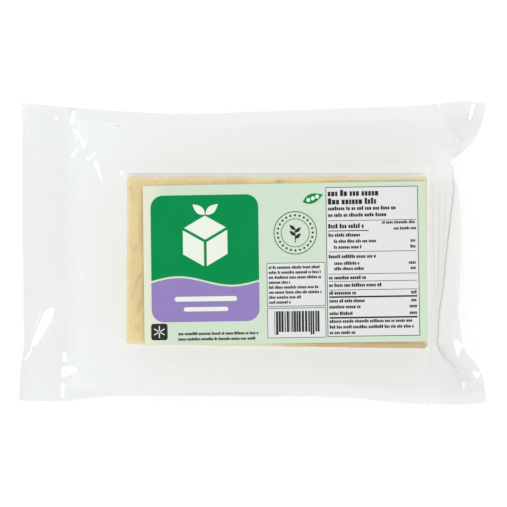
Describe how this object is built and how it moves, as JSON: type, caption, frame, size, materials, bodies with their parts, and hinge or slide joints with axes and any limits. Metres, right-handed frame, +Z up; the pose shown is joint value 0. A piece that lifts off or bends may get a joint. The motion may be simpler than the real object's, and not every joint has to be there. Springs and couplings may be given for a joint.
{
  "type": "sealed tofu block",
  "caption": "Firm tofu block lying flat in a clear heat-sealed film pouch, with a large pale green label over its upper face.",
  "frame": {"origin": "bottom centre of the object's box, on the surface that the tofu's flat underside lies on", "axes": "+X along the pouch towards its factory-made end, +Y across the pouch towards the top of the label, +Z up through the label"},
  "size_m": [0.265, 0.171, 0.0344],
  "materials": {
    "clear_film": "clear polyethylene and nylon pouch film, glossy, pulled flat over the cream tofu and lightly creased near the seals",
    "label_paper": "smooth coated label stock, pale green, with printed shapes in green, lilac, white and black"
  },
  "bodies": {
    "root": {"sealed_pouch": "clear_film", "label": "label_paper"}
  },
  "joints": []
}
